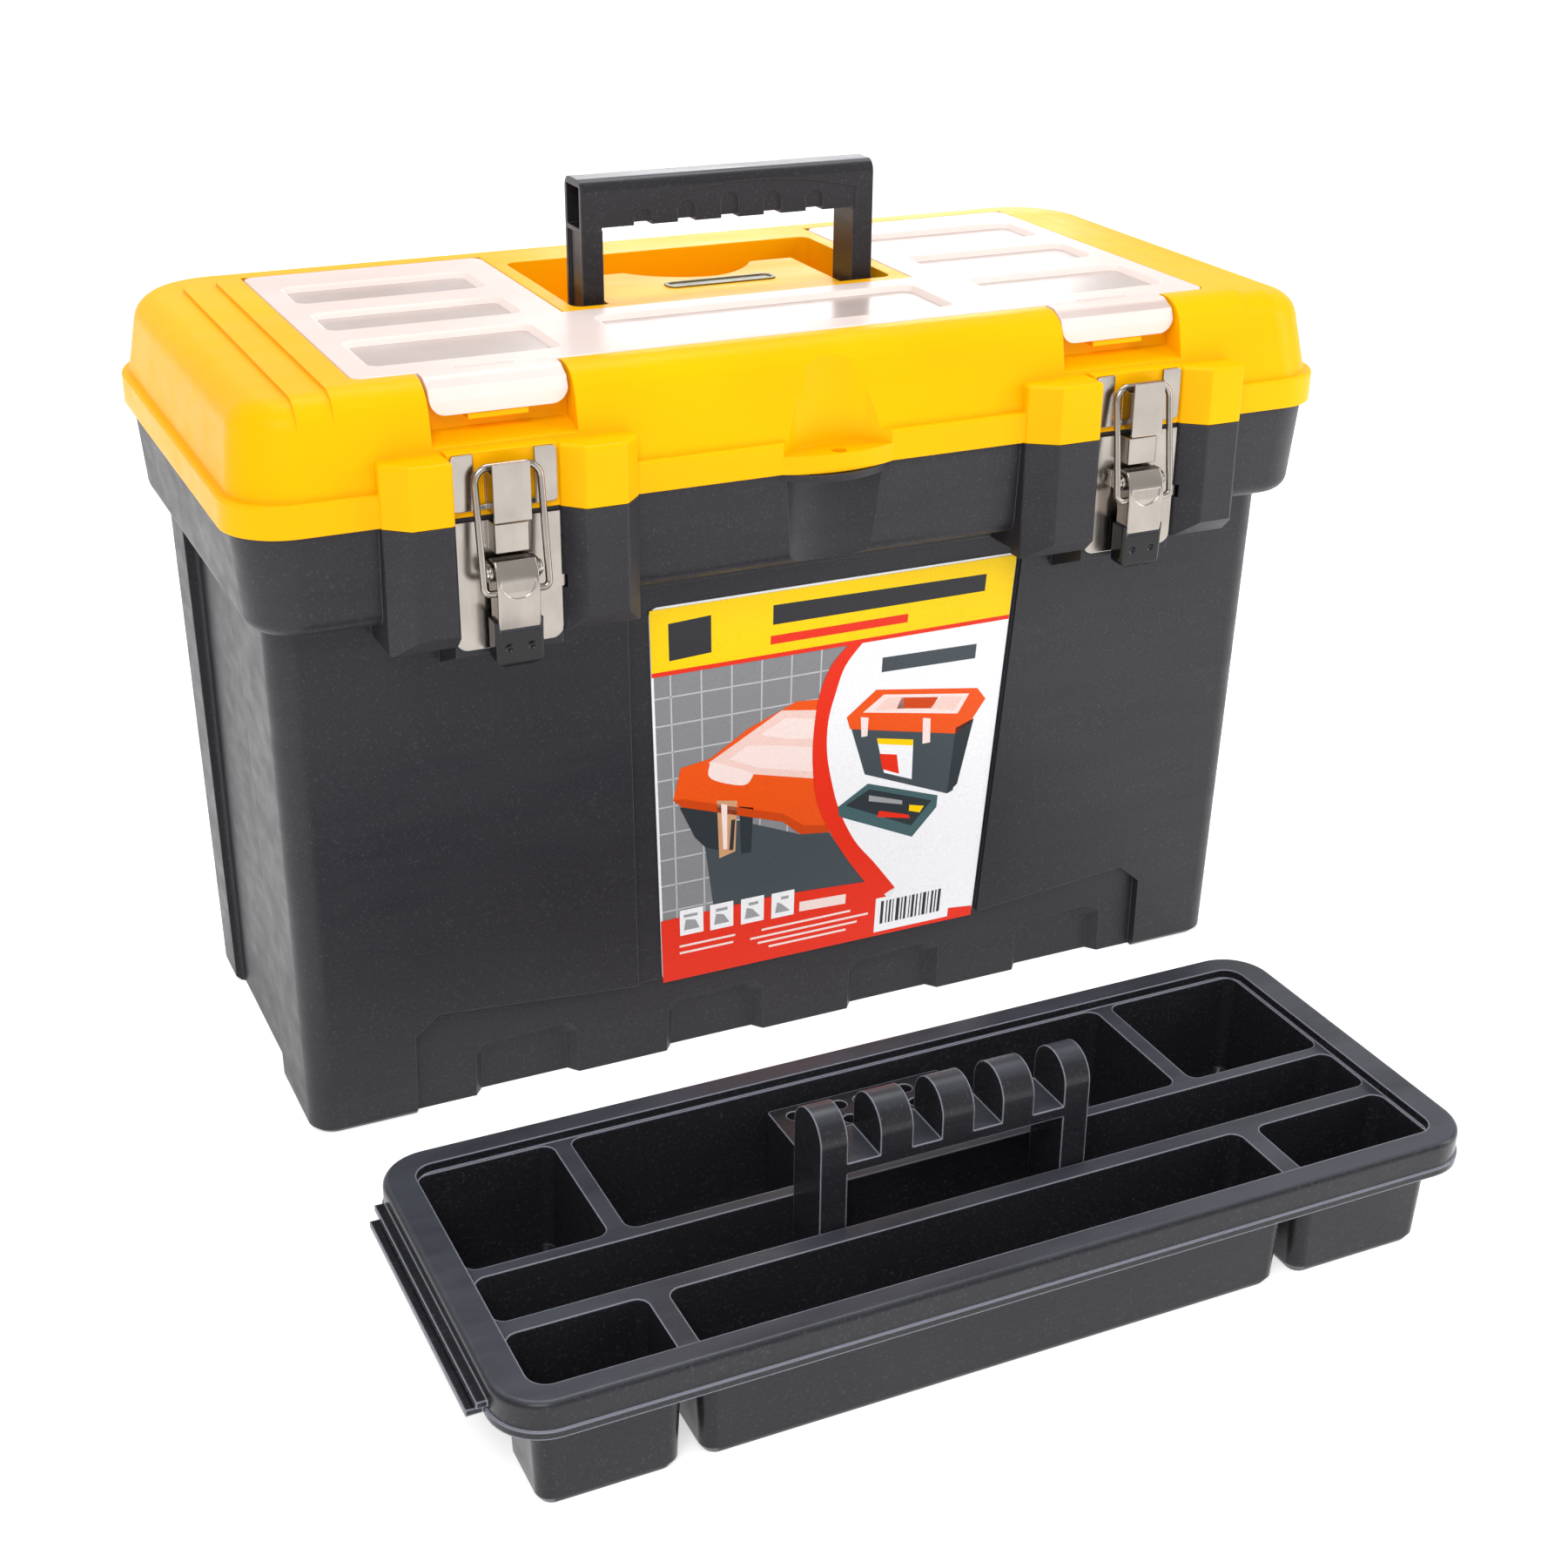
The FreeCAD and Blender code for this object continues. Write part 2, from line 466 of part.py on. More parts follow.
    catches = both_ends(box(126, 150, TAB_Y + 0.8, TAB_WALL_Y + 1, TAB_Z - 2.6, TAB_Z - 0.3))
    knuckles = []
    relief = [box(-270, 270, 80, 140, 270, PARTING_Z)]
    bores = []
    for s in (-1, 1):
        c = s * HINGE_X
        for a, b in ((c - HINGE_HALF, c - HINGE_MID - 0.4), (c + HINGE_MID + 0.4, c + HINGE_HALF)):
            web = profile_x([(119.6, HINGE_Z), (HINGE_Y + HINGE_R, HINGE_Z), (HINGE_Y + HINGE_R, 284),
                             (RIM_Y, 291), (119.6, 291)], a, b)
            knuckles.append(fuse(web, rod_x(a, b, HINGE_Y, HINGE_Z, HINGE_R)))
        relief.append(rod_x(c - HINGE_MID - 0.4, c + HINGE_MID + 0.4, HINGE_Y, HINGE_Z, HINGE_R + 0.4))
        relief.append(box(c - HINGE_MID - 0.4, c + HINGE_MID + 0.4, 117.5, 130, 279, HINGE_Z + 0.3))
        bores.append(rod_x(c - HINGE_HALF - 1, c + HINGE_HALF + 1, HINGE_Y, HINGE_Z, HINGE_PIN_R + PIVOT_FIT))
    lid = fuse(cut(lid, *relief), *catches, *knuckles)
    return cut(lid, *bores, padlock_eye())


def badge_plate():
    x0, x1, y0, y1 = BADGE
    plate = rounded(x0, x1, y0, y1, ISLAND_Z - 1.2, ISLAND_Z + 0.6, 4)
    hollow = rounded(x0 + 1.6, x1 - 1.6, y0 + 1.6, y1 - 1.6, ISLAND_Z + 0.1, ISLAND_Z + 1, 2.6)
    return cut(plate, hollow)


def organizer_cover():
    cover = cover_outline(0, COVER_Z0, COVER_Z1)
    cover = fillet(cover, 0.8, lambda e: e.ZMin > COVER_Z1 - 0.01)
    top = COVER_Z1
    tab_side = [(COVER_FRONT + 3, COVER_Z0), (COVER_FRONT + 3, top), (COVER_FRONT - 6, top - 0.4),
                (TAB_Y + 1.8, top - 3.8), (TAB_Y, top - 8.5), (TAB_Y, TAB_Z), (TAB_Y + 2.2, TAB_Z),
                (TAB_Y + 2.2, top - 8.5), (TAB_Y + 4, top - 5.8), (COVER_FRONT - 4, COVER_Z0)]
    tab = profile_x(tab_side, *TAB_SPAN)
    tab = fillet(tab, 2.0, lambda e: e.XLength > 50 and e.YMax < COVER_FRONT - 3 and e.ZMin > top - 8.6)
    tab = fillet(tab, 6.5, lambda e: e.YLength > 1 and e.XLength < 0.01 and e.ZMax < TAB_Z + 0.01)
    grip_bar = rounded(126, 150, COVER_FRONT + 0.6, COVER_FRONT + 2.8, top - 0.3, top + 0.45, 1)
    tabs = both_ends(fuse(tab, grip_bar))
    barrels = both_ends(rod_x(COVER_INNER_X + 1, COVER_X - 1, COVER_AXIS_Y, COVER_AXIS_Z, 2.6))
    stubs = both_ends(rod_x(COVER_INNER_X - 3, COVER_X + 4, COVER_AXIS_Y, COVER_AXIS_Z, COVER_PIN_R))
    cover = fuse(cover, *tabs, *barrels, *stubs)

    windows = [(-179.0, -97.0, 25.0, 56.0), (-179.0, -98.0, -24.0, 6.0), (-179.0, -102.0, -83.0, -43.0)]
    panes = [pane(-73, 74, -83, -42)]
    for window in windows:
        panes += both_ends(pane(*window))
    return cut(cover, *panes)


def pane(x0, x1, y0, y1):
    """The cut over one window, where the cover is thinner; its sides lean and its upper edge is eased."""
    floor, lean, ease = COVER_Z1 - PANE_DEPTH, 1.4, 0.5
    return tub([(x0 + lean, x1 - lean, y0 + lean, y1 - lean, floor, 3.5),
                (x0, x1, y0, y1, COVER_Z1 - ease, 4.5),
                (x0 - 0.9, x1 + 0.9, y0 - 0.9, y1 + 0.9, COVER_Z1 + 0.01, 5.5)])


def carry_handle():
    depth = HANDLE_Y1 - HANDLE_Y0
    mid = (HANDLE_Y0 + HANDLE_Y1) / 2
    bow = box(-HANDLE_X, HANDLE_X, HANDLE_Y0, HANDLE_Y1, PIVOT_Z, HANDLE_TOP_Z)
    bow = fillet(bow, 5.0, lambda e: e.XLength > 100 and e.ZMin > HANDLE_TOP_Z - 0.01)
    inner = HANDLE_X - LEG_W
    bow = cut(bow, box(-inner, inner, HANDLE_Y0 - 1, HANDLE_Y1 + 1, PIVOT_Z - 20, GRIP_UNDER_Z))
    feet = both_ends(rod_x(inner, HANDLE_X, PIVOT_Y, PIVOT_Z, depth / 2))
    bow = fuse(bow, *feet)
    channel = box(-HANDLE_X - 1, HANDLE_X + 1, mid - 6, mid + 6, GRIP_UNDER_Z + 4, HANDLE_TOP_Z - 3.5)
    sides = (HANDLE_Y0 + 2, HANDLE_Y1 - 2)
    mouths = both_ends(box(50, HANDLE_X + 1, *sides, GRIP_UNDER_Z, HANDLE_TOP_Z - 3.0))
    grooves = both_ends(box(HANDLE_X - 1.2, HANDLE_X + 1, *sides, PIVOT_Z + 14, GRIP_UNDER_Z - 2))
    bores = both_ends(rod_x(inner - 1, HANDLE_X + 1, PIVOT_Y, PIVOT_Z, PIVOT_R + PIVOT_FIT))
    arch = []
    for y0, y1 in ((HANDLE_Y0 - 1, HANDLE_Y0 + 0.8), (HANDLE_Y1 - 0.8, HANDLE_Y1 + 1)):
        left, right = V(-60, y0, 361.5), V(60, y0, 369)
        crown = Part.Arc(left, V(2, y0, 375), right).toShape()
        sides = Part.makePolygon([right, V(60, y0, GRIP_UNDER_Z - 1), V(-60, y0, GRIP_UNDER_Z - 1), left])
        arch.append(Part.Face(Part.Wire([crown] + sides.Edges)).extrude(V(0, y1 - y0, 0)))
    notches = []
    for i in range(-2, 3):
        x = 20.0 * i
        top = 371.0 - 1.6 * abs(i) + 0.5 * i
        for y0, y1 in ((HANDLE_Y0 - 1, HANDLE_Y0 + 2.0), (HANDLE_Y1 - 2.0, HANDLE_Y1 + 1)):
            notches.append(box(x - 4, x + 4, y0, y1, GRIP_UNDER_Z - 1, top - 4))
            notches.append(Part.makeCylinder(4, y1 - y0, V(x, y0, top - 4), V(0, 1, 0)))
        notches.append(box(x - 4, x + 4, HANDLE_Y0 - 1, HANDLE_Y1 + 1, GRIP_UNDER_Z - 1, GRIP_UNDER_Z + 1.2))
    return cut(bow, channel, *mouths, *grooves, *bores, *arch, *notches)


def handle_pivot_pins():
    pin = rod_x(ISLAND_X - 4, RECESS_X + 4, PIVOT_Y, PIVOT_Z, PIVOT_R)
    return Part.makeCompound(both_ends(pin))


def hinge_pin(side):
    c = side * HINGE_X
    return rod_x(c - HINGE_HALF - 0.8, c + HINGE_HALF + 0.8, HINGE_Y, HINGE_Z, HINGE_PIN_R)


def latch_keeper(side):
    """Steel keeper on the lid: a flat plate with a raised, upturned lip that the bail drops behind."""
    c = side * LATCH_X
    back = -RIM_Y
    face = back - PLATE_T
    front = LIP_Y - 1.2
    web_z = BAIL_TOP_Z - BAIL_R - 0.35
    plate = box(c - 21, c + 21, face, back, 282.5, 304.5)
    plate = fillet(plate, 2, lambda e: e.YLength > 0.5 and e.XLength < 0.01 and e.ZLength < 0.01)
    # gaps where the lip was bent out of the plate
    gaps = [box(x, x + 4.4, face - 1, back + 1, 284.5, 310) for x in (c - 12.2, c + 7.8)]
    plate = cut(plate, *gaps, box(c - 9, c + 9, face - 1, back + 1, BAIL_TOP_Z, 310))
    lip = box(c - 7.6, c + 7.6, front, LIP_Y, 279.3, BAIL_TOP_Z + 2.5)
    web = box(c - 7.6, c + 7.6, LIP_Y, face, web_z - 1.2, web_z)
    low = box(c - 7.6, c + 7.6, LIP_Y, face, 282.5, 283.7)
    cheeks = [box(x, x + 1.2, LIP_Y, face, 282.5, web_z) for x in (c - 7.6, c + 6.4)]
    return fillet(fuse(plate, lip, web, low, *cheeks), 0.8,
                  lambda e: e.YMax < front + 0.01 and e.ZLength > 10)


def latch_plate(side):
    """Steel plate on the base: raised channel over the lever, two pivot tabs and two side ears."""
    c = side * LATCH_X
    back = PLATE_Y + PLATE_T
    plate = box(c - PLATE_HALF, c + PLATE_HALF, PLATE_Y, back, PLATE_Z0, PLATE_Z1)
    plate = fillet(plate, 5, lambda e: e.YLength > 0.5 and e.ZMax < PLATE_Z0 + 0.01 and e.XLength < 0.01)
    ears = [box(c - PLATE_HALF - 3, c - PLATE_HALF, PLATE_Y, back, 247, 252),
            box(c + PLATE_HALF, c + PLATE_HALF + 3, PLATE_Y, back, 247, 252)]
    channel = box(c - 7.0, c + 7.0, -131.8, PLATE_Y, 266.6, PLATE_Z1)
    channel = fillet(channel, 1.0, lambda e: e.ZLength > 5 and e.YMax < -131.7)
    tabs = []
    for x in (c - 10.2, c + 9.0):
        tab = fuse(rod_x(x, x + 1.2, LEVER_Y, LEVER_Z, 3.6), box(x, x + 1.2, LEVER_Y, PLATE_Y, LEVER_Z - 3.6,
                                                                LEVER_Z + 3.6))
        tabs.append(cut(tab, rod_x(x - 1, x + 3, LEVER_Y, LEVER_Z, 1.75)))
    return fuse(plate, *ears, channel, *tabs)


def latch_lever(side):
    """Over-centre lever: a bent channel with a stamped thumb mark."""
    c = side * LATCH_X
    outside = [(-133.8, 264.0), (-128.5, 264.0), (-126.6, 262.0), (-126.6, 252.0), (-128.5, 247.0),
               (-128.5, 224.5), (-134.5, 224.5), (-137.2, 240.0), (-137.6, 252.0), (-136.6, 260.0)]
    inside = [(-132.8, 262.8), (-120.0, 262.8), (-120.0, 223.0), (-133.3, 223.0), (-136.0, 240.0),
              (-136.4, 252.0), (-135.4, 260.0)]
    lever = profile_x(outside, c - LEVER_HALF, c + LEVER_HALF)
    lever = fillet(lever, 0.8, lambda e: e.XLength < 0.01 and e.YMax < -133.5)
    lever = cut(lever, profile_x(inside, c - LEVER_HALF + 1.2, c + LEVER_HALF - 1.2))
    moon = Part.makeCylinder(7.0, 6, V(c, -140, 256.5), V(0, 1, 0))
    moon_side = [(-142, 248), (-142, 256.5), (-136.5, 256.5), (-137.0, 252), (-136.9, 248)]
    moon = moon.common(profile_x(moon_side, c - 8, c + 8))
    bore = rod_x(c - 10, c + 10, LEVER_Y, LEVER_Z, 1.75 + PIVOT_FIT)
    bail_holes = rod_x(c - 10, c + 10, LEVER_Y + BAIL_DY, LEVER_Z + BAIL_DZ, BAIL_R + PIVOT_FIT)
    return cut(lever, moon, bore, bail_holes)


def lever_tip(side):
    """Black plastic cap pushed over the lever's free end."""
    c = side * LATCH_X
    cap = profile_x([(-136.9, 240.2), (-126.8, 240.2), (-126.8, 222.5), (-129.0, 221.0), (-134.0, 221.0),
                     (-136.0, 223.0)], c - 9.8, c + 9.8)
    cap = fillet(cap, 1.5, lambda e: e.XLength < 0.01 and e.ZLength > 3)
    tongue = profile_y([(c - 9.8, 241), (c - 9.8, 221), (c + 9.8, 221), (c + 9.8, 241)], -140, -120)
    tongue = fillet(tongue, 5, lambda e: e.YLength > 5 and e.ZMax < 222)
    dimples = [Part.makeSphere(2.4, V(c + dx, -138.0, 229.5)) for dx in (-4.6, 4.6)]
    cap = cut(cap.common(tongue), *dimples)
    return cut(cap, latch_lever(side), box(c - 7.3, c + 7.3, -133.0, -120, 224.5, 245))


def lever_pivot(side):
    c = side * LATCH_X
    pin = rod_x(c - 10.2, c + 10.2, LEVER_Y, LEVER_Z, 1.75)
    heads = [rod_x(x, x + 1, LEVER_Y, LEVER_Z, 2.8) for x in (c - 11.2, c + 10.2)]
    return fuse(pin, *heads)


def latch_bail(side):
    """One bent wire: crossbar behind the keeper's lip, two legs, ends turned in to the lever."""
    c = side * LATCH_X
    foot = V(0, LEVER_Y + BAIL_DY, LEVER_Z + BAIL_DZ)
    top = V(0, BAIL_TOP_Y, BAIL_TOP_Z)
    up = top - foot
    up.normalize()
    bend, small = 6.0, 2.6
    half = []
    for s in (-1, 1):
        leg_x = c + s * BAIL_HALF
        out = V(s, 0, 0)
        inner_end = V(c + s * 7.6, foot.y, foot.z)
        knee = V(leg_x, foot.y, foot.z)
        shoulder = V(leg_x, top.y, top.z)
        half.append((inner_end, knee - out * small, knee + up * small, knee, shoulder - up * bend,
                     shoulder - out * bend, shoulder, small, bend))
    left, right = half

    def corner(a, b, at, r, towards_a, towards_b):
        centre = at + towards_a * r + towards_b * r
        middle = centre + (at - centre) * (1 / math.sqrt(2))
        return Part.Arc(a, middle, b).toShape()

    edges = []
    for h, s in ((left, -1), (right, 1)):
        inward = V(-s, 0, 0)
        part = [Part.makeLine(h[0], h[1]), corner(h[1], h[2], h[3], small, inward, up),
                Part.makeLine(h[2], h[4]), corner(h[4], h[5], h[6], bend, inward, up * -1)]
        edges.append(part)
    path = Part.Wire(edges[0] + [Part.makeLine(left[5], right[5])] + edges[1][::-1])
    start = left[0]
    circle = Part.Wire(Part.makeCircle(BAIL_R, start, V(1, 0, 0)))
    return path.makePipeShell([circle], True, True)


def tray_cell(x0, x1, y0, y1, floor, grow):
    """A tray compartment as a drafted block; grow is the wall added outside it."""
    g = grow
    low, mid = 4.0, 2.0
    return tub([(x0 + low - g, x1 - low + g, y0 + low - g, y1 - low + g, floor - g, 3 + g),
                (x0 + mid - g, x1 - mid + g, y0 + mid - g, y1 - mid + g, floor - g + 3.5, 4 + g),
                (x0 - g, x1 + g, y0 - g, y1 + g, TRAY_H - 1.5, 5 + g)])


def tray_cells():
    cells = [(x0, x1, *BACK_ROW, TRAY_WALL) for x0, x1 in BACK_CELLS]
    cells += [(x0, x1, *FRONT_ROW, TRAY_WALL) for x0, x1 in FRONT_CELLS]
    cells.append((-187.0, 187.0, *CHANNEL, CHANNEL_FLOOR))
    return cells


def tray_pan():
    rim = rounded(-TRAY_X, TRAY_X, -TRAY_Y, TRAY_Y, SKIRT_Z, TRAY_H, 20)
    rim = fillet(rim, 2.5, lambda e: e.ZMin > TRAY_H - 0.01)
    step = rounded(-TRAY_X - 0.8, TRAY_X + 0.8, -TRAY_Y - 0.8, TRAY_Y + 0.8, SKIRT_Z, SKIRT_Z + 3, 20.8)
    under = rounded(-TRAY_X + 2.2, TRAY_X - 2.2, -TRAY_Y + 2.2, TRAY_Y - 2.2, SKIRT_Z - 1, TRAY_H - 6.2, 18)
    rim = cut(fuse(rim, step), under)
    outers = [tray_cell(*cell, TRAY_WALL) for cell in tray_cells()]
    lips = [box(-TRAY_X - 4, -TRAY_X + 1, -61, 61, 44.5, 47),
            box(-TRAY_X - 7, -TRAY_X + 1, -58, 58, SKIRT_Z, 42.5)]
    lips += [mirror_x(b) for b in lips]
    pan = fuse(rim, *outers, *lips)
    inner = [tray_cell(*cell, 0) for cell in tray_cells()]
    inner += [rounded(x0, x1, y0, y1, TRAY_H - 2, TRAY_H + 1, 5) for x0, x1, y0, y1, _ in tray_cells()]
    top = rounded(-188, 188, -70, 69, DIVIDER_Z, TRAY_H + 1, 8)
    pan = cut(pan, top, *inner)

    x0, x1, z1 = BIT_BLOCK
    block = rounded(x0, x1, BACK_ROW[0] - 1, BACK_ROW[1] - 6, 0.5, z1, 1.5)
    core = rounded(x0 + 2, x1 - 2, BACK_ROW[0] + 3, BACK_ROW[1] - 8, -1, z1 - 14.5, 1.5)
    pan = cut(fuse(pan, block), core)
    holes = []
    for i in range(7):
        for j in range(5):
            holes.append(Part.makeCylinder(3.2, 14, V(x0 + 9 + 10.0 * i, 11 + 11.0 * j, z1 - 12)))
    return place_tray(cut(pan, *holes))


def tray_handle():
    """Arched handle with a D-shaped bar, slotted into five blocks, on two slab legs."""
    y0, y1 = CHANNEL[0] + 2.2, CHANNEL[1] - 2.2
    mid, half = (y0 + y1) / 2, (y1 - y0) / 2
    x0, x1 = THANDLE_X - THANDLE_HALF, THANDLE_X + THANDLE_HALF
    dome = rod_x(x0, x1, mid, THANDLE_Z1 - half, half)
    bar = fuse(dome, box(x0, x1, y0, y1, CHANNEL_FLOOR, THANDLE_Z1 - half))
    gap = box(x0 + THANDLE_LEG, x1 - THANDLE_LEG, y0 - 1, y1 + 1, CHANNEL_FLOOR - 1, THANDLE_Z0)
    pitch = (x1 - x0 - THANDLE_LEG) / 4
    halves = [width / 2 for width in (THANDLE_LEG, *[THANDLE_BLOCK] * 3, THANDLE_LEG)]
    slots = []
    for i in range(4):
        middle = x0 + THANDLE_LEG / 2 + pitch * i
        slots.append(box(middle + halves[i], middle + pitch - halves[i + 1], y0 - 1, y1 + 1,
                         THANDLE_Z0 + 4.5, THANDLE_Z1 + 1))
    room = fuse(tray_cell(-187.0, 187.0, *CHANNEL, CHANNEL_FLOOR, -0.1), box(x0, x1, y0, y1, 45, THANDLE_Z1))
    return place_tray(cut(bar.common(room), gap, *slots))


def place_tray(shape):
    shape.translate(V(*TRAY_AT, 0))
    return shape


NODES = {
    "base_shell": base_shell,
    "label_sticker": label_sticker,
    "lid_shell": lid_shell,
    "badge_plate": badge_plate,
    "organizer_cover": organizer_cover,
    "carry_handle": carry_handle,
    "handle_pivot_pins": handle_pivot_pins,
    "hinge_pin_left": lambda: hinge_pin(-1),
    "hinge_pin_right": lambda: hinge_pin(1),
    "tray_pan": tray_pan,
    "tray_handle": tray_handle,
}
for name, side in (("left", -1), ("right", 1)):
    NODES["latch_keeper_" + name] = lambda side=side: latch_keeper(side)
    NODES["latch_plate_" + name] = lambda side=side: latch_plate(side)
    NODES["latch_lever_" + name] = lambda side=side: latch_lever(side)
    NODES["lever_tip_" + name] = lambda side=side: lever_tip(side)
    NODES["lever_pivot_" + name] = lambda side=side: lever_pivot(side)
    NODES["latch_bail_" + name] = lambda side=side: latch_bail(side)

os.makedirs("parts", exist_ok=True)
for name, build in NODES.items():
    shape = build()
    shape.exportStep("parts/" + name + ".step")
    print(name, len(shape.Solids), "solids, valid", shape.isValid(), round(shape.Volume / 1000, 1), "cm3")
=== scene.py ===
import json
import math

import bmesh
import bpy
from mathutils import Matrix, Vector


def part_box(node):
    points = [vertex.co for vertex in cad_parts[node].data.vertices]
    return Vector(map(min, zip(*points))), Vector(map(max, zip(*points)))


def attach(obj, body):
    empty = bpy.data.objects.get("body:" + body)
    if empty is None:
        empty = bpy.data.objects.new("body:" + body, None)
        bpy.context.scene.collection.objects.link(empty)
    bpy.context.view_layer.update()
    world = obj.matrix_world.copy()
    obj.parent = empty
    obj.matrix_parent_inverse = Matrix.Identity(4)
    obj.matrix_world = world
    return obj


# The looks of the toolbox and its tray: materials for every CAD node, the printed label's picture,
# the studio and the camera. Everything is in metres, in the CAD frame.

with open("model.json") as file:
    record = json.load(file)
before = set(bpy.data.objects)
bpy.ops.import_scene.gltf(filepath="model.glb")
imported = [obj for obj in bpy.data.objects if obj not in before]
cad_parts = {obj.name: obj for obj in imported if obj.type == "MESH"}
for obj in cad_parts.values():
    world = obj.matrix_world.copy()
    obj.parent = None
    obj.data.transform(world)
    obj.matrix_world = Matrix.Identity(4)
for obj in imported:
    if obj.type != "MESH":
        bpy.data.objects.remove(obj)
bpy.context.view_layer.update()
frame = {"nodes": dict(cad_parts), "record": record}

MM = 0.001


# ---------------------------------------------------------------- node trees

class Nodes:
    """A material's node tree, written as calls."""

    def __init__(self, name):
        self.material = bpy.data.materials.new(name)
        self.material.use_nodes = True
        self.tree = self.material.node_tree
        self.tree.nodes.clear()
        self.shader = self.add("ShaderNodeBsdfPrincipled")
        output = self.add("ShaderNodeOutputMaterial")
        self.tree.links.new(self.shader.outputs[0], output.inputs["Surface"])
        self.place = self.add("ShaderNodeTexCoord").outputs["Object"]

    def add(self, kind, **settings):
        node = self.tree.nodes.new(kind)
        for key, value in settings.items():
            setattr(node, key, value)
        return node

    def put(self, socket, value):
        """A socket's value, or the output that feeds it."""
        if isinstance(value, bpy.types.NodeSocket):
            self.tree.links.new(value, socket)
        else:
            socket.default_value = value

    def math(self, operation, a, b=0.0, c=0.0):
        node = self.add("ShaderNodeMath", operation=operation)
        for socket, value in zip(node.inputs, (a, b, c)):
            self.put(socket, value)
        return node.outputs[0]

    def noise(self, scale, detail=3.0, roughness=0.5, stretch=None):
        """Noise with features of about 1/scale metres, optionally stretched along an axis."""
        node = self.add("ShaderNodeTexNoise")
        node.inputs["Scale"].default_value = scale
        node.inputs["Detail"].default_value = detail
        node.inputs["Roughness"].default_value = roughness
        where = self.place
        if stretch:
            mapping = self.add("ShaderNodeMapping")
            mapping.inputs["Scale"].default_value = stretch
            self.put(mapping.inputs["Vector"], where)
            where = mapping.outputs[0]
        self.put(node.inputs["Vector"], where)
        return node.outputs["Fac"]

    def spread(self, value, low, high, to_low=0.0, to_high=1.0):
        node = self.add("ShaderNodeMapRange")
        node.clamp = True
        for key, number in (("From Min", low), ("From Max", high), ("To Min", to_low), ("To Max", to_high)):
            node.inputs[key].default_value = number
        self.put(node.inputs["Value"], value)
        return node.outputs["Result"]

    def mix(self, share, a, b):
        node = self.add("ShaderNodeMix", data_type="RGBA")
        self.put(node.inputs["Factor"], share)
        self.put(node.inputs[6], a)
        self.put(node.inputs[7], b)
        return node.outputs[2]

    def axes(self):
        node = self.add("ShaderNodeSeparateXYZ")
        self.put(node.inputs[0], self.place)
        return node.outputs

    def edges(self, radius):
        """1 along an edge that sticks out or in, within radius of it, and 0 on the flat."""
        bevel = self.add("ShaderNodeBevel", samples=6)
        bevel.inputs["Radius"].default_value = radius
        flat = self.add("ShaderNodeNewGeometry").outputs["Normal"]
        dot = self.add("ShaderNodeVectorMath", operation="DOT_PRODUCT")
        self.put(dot.inputs[0], bevel.outputs[0])
        self.put(dot.inputs[1], flat)
        return self.spread(dot.outputs["Value"], 1.0, 0.75), bevel.outputs[0]

    def tops(self, above):
        """1 on faces that look up and lie higher than above, and 0 elsewhere."""
        up = self.add("ShaderNodeSeparateXYZ")
        self.put(up.inputs[0], self.add("ShaderNodeTexCoord").outputs["Normal"])
        high = self.spread(self.axes()["Z"], above, above + 0.5 * MM)
        return self.math("MULTIPLY", self.spread(up.outputs["Z"], 0.7, 0.98), high)

    def bump(self, height, distance, strength=1.0, below=None):
        node = self.add("ShaderNodeBump")
        node.inputs["Strength"].default_value = strength
        node.inputs["Distance"].default_value = distance
        self.put(node.inputs["Height"], height)
        if below is not None:
            self.put(node.inputs["Normal"], below)
        return node.outputs[0]

    def finish(self, color, roughness, normal=None, **fixed):
        self.put(self.shader.inputs["Base Color"], color)
        self.put(self.shader.inputs["Roughness"], roughness)
        if normal is not None:
            self.put(self.shader.inputs["Normal"], normal)
        for key, value in fixed.items():
            self.shader.inputs[key.replace("_", " ")].default_value = value
        return self.material


# ---------------------------------------------------------------- materials

def moulded_plastic(name, color, shade, dust_wear_and_highlight, roughness, grain, edge=0.7 * MM, edge_wear_and_highlight=0.45, speck=0.0,
                    painted_top_highlight=None, **fixed):
    """Injection-moulded plastic: spark grain, faint flow marks, edges smoothed and lightened partly by
    scuffing and partly as painted highlight, pale specks of dust.

    The optional height and colour pair paints a highlight on the up-facing tops above that height.
    """
    n = Nodes(name)
    edge_mask, round_normal = n.edges(edge)
    cloud = n.noise(9.0, 4.0)
    flow = n.noise(60.0, 3.0, stretch=(0.25, 1.0, 2.0))
    fine = n.noise(1700.0, 2.0, 0.6)
    coarse = n.noise(820.0, 3.0, 0.65)
    tone = n.mix(n.spread(cloud, 0.35, 0.65), (*color, 1), (*shade, 1))
    tone = n.mix(n.spread(coarse, 0.56, 0.78, 0.0, speck), tone, (*dust_wear_and_highlight, 1))
    # Painted highlight: up-facing tops above the height are lightened, standing in for the light they
    # reflect.
    if painted_top_highlight:
        above, top_highlight_color = painted_top_highlight
        share = n.math("MULTIPLY", n.tops(above), n.spread(flow, 0.3, 0.65, 0.5, 1.0))
        tone = n.mix(share, tone, (*top_highlight_color, 1))
    # Edges lightened: partly scuffing, partly painted highlight.
    tone = n.mix(n.math("MULTIPLY", edge_mask, edge_wear_and_highlight), tone, (*dust_wear_and_highlight, 1))
    height = n.math("ADD", n.math("MULTIPLY", fine, 0.6), n.math("MULTIPLY", coarse, 0.4))
    normal = n.bump(height, grain, 0.7, below=round_normal)
    rough = n.math("ADD", n.spread(flow, 0.3, 0.7, roughness - 0.05, roughness + 0.06),
                   n.math("MULTIPLY", edge_mask, -0.08))
    return n.finish(tone, rough, normal, **fixed)


